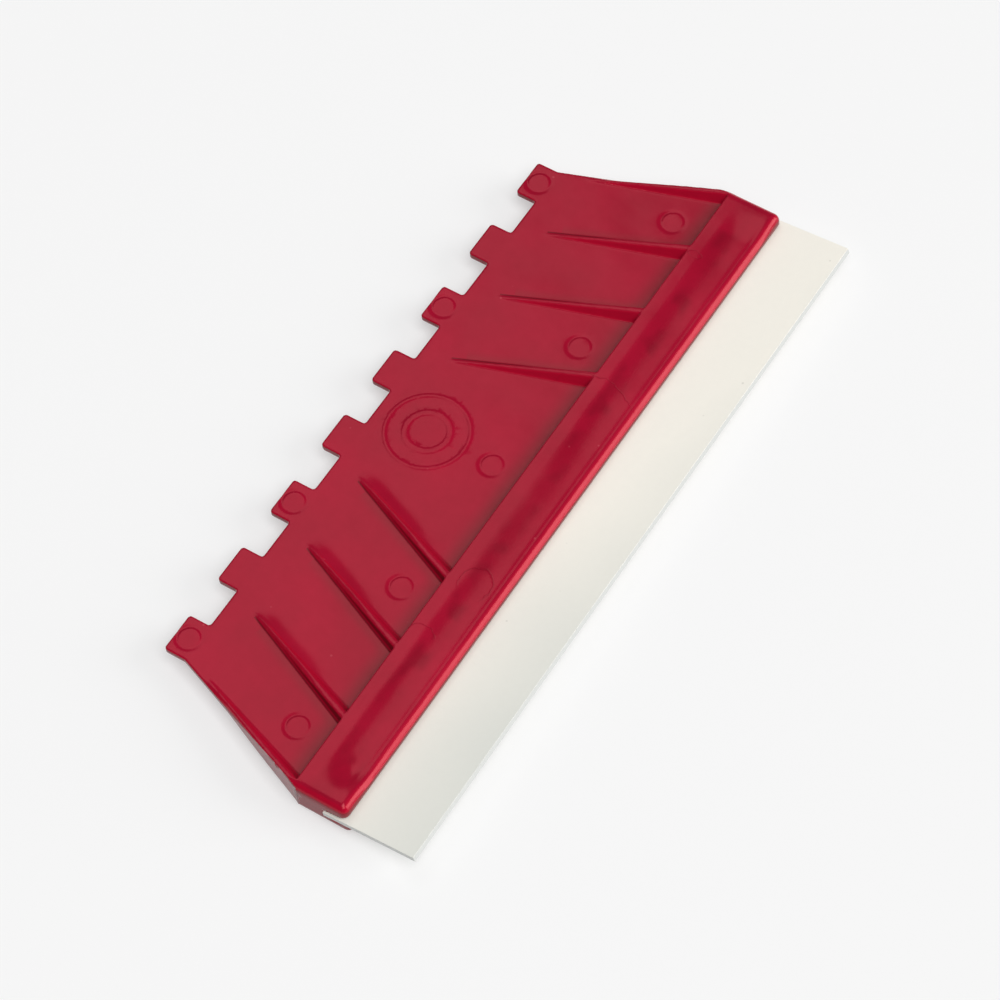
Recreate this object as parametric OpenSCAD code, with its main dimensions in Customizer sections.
// Hand squeegee for laying vinyl film: a one-piece moulded holder and the
// flexible blade that its jaw grips. X runs along the blade, the blade points
// to -Y, and +Z is up. The origin is the centre of the jaw's flat underside.

/* [Blade] */
// Length of the blade; the jaw that holds it is a little shorter
blade_len = 178; // [150:1:220]
// Width of the blade strip, from its hidden edge to its working edge
blade_w = 23; // [18:0.5:30]
// Thickness of the blade strip
blade_t = 1.3; // [1:0.1:1.6]
// Upward lean of the blade from the plane of the plate, in degrees
blade_lean = 5; // [3:0.5:6]
// Bevel along the top of the working edge
edge_bevel = 0.7; // [0.4:0.1:1.5]

/* [Jaw] */
// Height of the jaw bar
jaw_h = 8.3; // [8:0.1:10]
// Depth of the jaw bar from its back wall to the tip of the lower lip
jaw_depth = 14; // [13:0.5:18]
// How far the lower lip stands out past the upper one
lip_step = 0.9; // [0.5:0.1:1.4]
// Rounding of the upper lip, in section
upper_lip_r = 1.8; // [1:0.1:2]
// Rounding of the lower lip, in section
lower_lip_r = 1; // [0.6:0.1:1.2]
// Rounding of the jaw's two front corners, seen from above
corner_r = 2.4; // [1:0.1:4]
// Play between the blade and the slot on each face
slot_fit = 0.05; // [0.03:0.01:0.08]

/* [Plate] */
// Thickness of the plate
plate_t = 1.7; // [1.4:0.1:2.2]
// Depth of the plate from the jaw's back wall to the ends of the tabs
plate_depth = 42.8; // [36:0.1:60]
// Number of tabs along the back edge
tab_count = 8; // [6:2:8]
// Spacing of the tabs
tab_pitch = 19.9; // [18:0.1:20]
// Width of one tab
tab_w = 9.6; // [8:0.1:11]
// Depth of the notches between the tabs
tab_depth = 5.3; // [4:0.1:8]

/* [Ribs] */
// Ribs on each side of the middle, without the one along the slanted edge
ribs_per_side = 3; // [2:1:3]
// Height of a rib above or below the plate where it meets the jaw
rib_h = 2.4; // [1.5:0.1:2.4]
// Width of a rib where it meets the jaw
rib_w = 2; // [1.2:0.1:2.6]
// Width of a rib at its thin end
rib_tip_w = 0.8; // [0.5:0.1:1.2]
// Distance from the ends of the tabs to the thin ends of the ribs
rib_setback = 11.6; // [8:0.1:16]

/* [Ejector marks] */
// Diameter of the round marks that the ejector pins leave
mark_d = 5.2; // [4:0.1:6]
// Depth of the marks
mark_depth = 0.2; // [0.1:0.05:0.3]

/* [Hidden] */
$fn = 96;
holder_red = [0.63, 0.13, 0.19];
blade_white = [0.90, 0.89, 0.86];
// a little more than nothing, so that joined solids share volume
overlap = 0.4;

// front and back of the jaw, measured on Y
jaw_back = jaw_depth / 2;
lower_lip_y = -jaw_depth / 2;
upper_lip_y = lower_lip_y + lip_step;
// the plate's top is one rib height below the jaw's top
plate_top = jaw_h - rib_h;
plate_bottom = plate_top - plate_t;
tab_end = jaw_back + plate_depth;
notch_end = tab_end - tab_depth;

// the jaw stops short of the blade's ends, and the plate short of the jaw's
jaw_len = blade_len - 0.8;
edge_root = jaw_len / 2 - 0.4;
// outer side of the outermost tab
tab_side = (tab_count - 1) / 2 * tab_pitch + tab_w / 2;
edge_lean = atan((edge_root - tab_side) / (notch_end - jaw_back));

// ribs below the plate stop just short of the jaw's underside
under_rib_h = plate_bottom - 0.5;
rib_run = (tab_end - rib_setback - jaw_back) / cos(edge_lean);
// middles of the ribs where they meet the jaw, one tab spacing apart
rib_roots = [for (i = [0:ribs_per_side - 1]) (i + 1.45) * tab_pitch];

// hidden edge of the blade, on the blade's middle plane
slot_y = -0.4;
slot_z = jaw_h / 2 - 0.75;
slot_half = blade_t / 2 + slot_fit;

// centre positions of the ejector marks
edge_mark_x = 75.5;
inner_mark_x = 36;
plate_mark_y = tab_end - 35.1;
tab_mark_y = tab_end - 3.2;
marked_tabs = [-3.5, -1.5, 1.5, 3.5];

// extrudes a section drawn in Y and Z along X
module along_x(length) {
  rotate([90, 0, 90])
    linear_extrude(height = length, center = true)
      children();
}

// puts a section drawn from the blade's hidden edge in its place in the jaw
module on_blade_plane() {
  translate([slot_y, slot_z])
    rotate(-blade_lean)
      children();
}

// outline of the jaw's section before the slot is cut
module jaw_outline() {
  half = jaw_h / 2;
  translate([upper_lip_y + upper_lip_r, half])
    square([jaw_back - upper_lip_y - upper_lip_r, half]);
  translate([upper_lip_y, half])
    square([upper_lip_r, half - upper_lip_r]);
  translate([upper_lip_y + upper_lip_r, jaw_h - upper_lip_r])
    circle(r = upper_lip_r);
  translate([lower_lip_y + lower_lip_r, 0])
    square([jaw_depth - lower_lip_r, half]);
  translate([lower_lip_y, lower_lip_r])
    square([lower_lip_r, half - lower_lip_r]);
  translate([lower_lip_y + lower_lip_r, lower_lip_r])
    circle(r = lower_lip_r);
}

// the slot: a snug groove, a relief pocket under the blade, the pinch ridge
// on the lower lip, and a mouth that opens past both lips
module slot_section() {
  reach = jaw_depth;
  on_blade_plane()
    polygon([
      [0.15, slot_half],
      [-1.5, slot_half],
      [-6.2, slot_half + 0.5],
      [-reach, slot_half + 1.4],
      [-reach, -slot_half - 1.4],
      [-6, -slot_half - 0.4],
      [-5, -slot_half],
      [-4.5, -slot_half],
      [-3.4, -slot_half - 1],
      [-1.8, -slot_half - 1],
      [-1.2, -slot_half],
      [0.15, -slot_half]
    ]);
}

// the jaw's footprint, with its two front corners rounded
module jaw_plan() {
  corner_x = jaw_len / 2 - corner_r;
  translate([-jaw_len / 2, lower_lip_y + corner_r])
    square([jaw_len, jaw_depth - corner_r]);
  translate([-corner_x, lower_lip_y])
    square([2 * corner_x, corner_r]);
  for (x = [-corner_x, corner_x])
    translate([x, lower_lip_y + corner_r])
      circle(r = corner_r);
}

module jaw() {
  intersection() {
    along_x(jaw_len)
      difference() {
        jaw_outline();
        slot_section();
      }
    linear_extrude(height = jaw_h)
      jaw_plan();
  }
}

// outline of the plate: slanted edges, with notches between the tabs
module plate_outline() {
  difference() {
    polygon([
      [-tab_side, tab_end],
      [tab_side, tab_end],
      [tab_side, notch_end],
      [edge_root, jaw_back - overlap],
      [-edge_root, jaw_back - overlap],
      [-tab_side, notch_end]
    ]);
    for (i = [1:tab_count - 1])
      translate([(i - tab_count / 2) * tab_pitch - (tab_pitch - tab_w) / 2, notch_end])
        square([tab_pitch - tab_w, tab_depth + overlap]);
  }
}

// one rib, running back from the jaw along +Y and tapering to nothing;
// its height is measured from the middle of the plate
module half_rib(height) {
  root = -1;
  intersection() {
    linear_extrude(height = height)
      polygon([
        [-rib_w / 2, root],
        [rib_w / 2, root],
        [rib_tip_w / 2, rib_run],
        [-rib_tip_w / 2, rib_run]
      ]);
    rotate([90, 0, -90])
      linear_extrude(height = rib_w, center = true)
        polygon([
          [-root, 0],
          [-root, height],
          [0, height],
          [-rib_run, plate_t / 2],
          [-rib_run, 0]
        ]);
  }
}

// a rib above the plate and its twin below, with its root at x on the jaw
module rib_pair(x) {
  translate([x, jaw_back, plate_bottom + plate_t / 2])
    rotate(edge_lean) {
      half_rib(rib_h + plate_t / 2);
      mirror([0, 0, 1])
        half_rib(under_rib_h + plate_t / 2);
    }
}

// the ribs of one side, with the last one along the slanted edge
module rib_fan() {
  for (x = rib_roots)
    rib_pair(x);
  rib_pair(edge_root - rib_w / 2 / cos(edge_lean));
}

module mark(x, y) {
  translate([x, y, plate_top - mark_depth])
    cylinder(d = mark_d, h = mark_depth + 1);
}

module ejector_marks() {
  for (x = [-edge_mark_x, -inner_mark_x, 0, inner_mark_x, edge_mark_x])
    mark(x, plate_mark_y);
  for (i = marked_tabs)
    mark(i * tab_pitch, tab_mark_y);
}

// the one-piece moulding: plate, tabs, ribs and jaw
module holder() {
  color(holder_red) {
    jaw();
    difference() {
      translate([0, 0, plate_bottom])
        linear_extrude(height = plate_t)
          plate_outline();
      ejector_marks();
    }
    rib_fan();
    mirror([1, 0, 0])
      rib_fan();
  }
}

// the replaceable blade strip
module blade() {
  color(blade_white)
    along_x(blade_len)
      on_blade_plane()
        polygon([
          [0, -blade_t / 2],
          [0, blade_t / 2],
          [-blade_w + edge_bevel, blade_t / 2],
          [-blade_w, -blade_t / 2]
        ]);
}

holder();
blade();
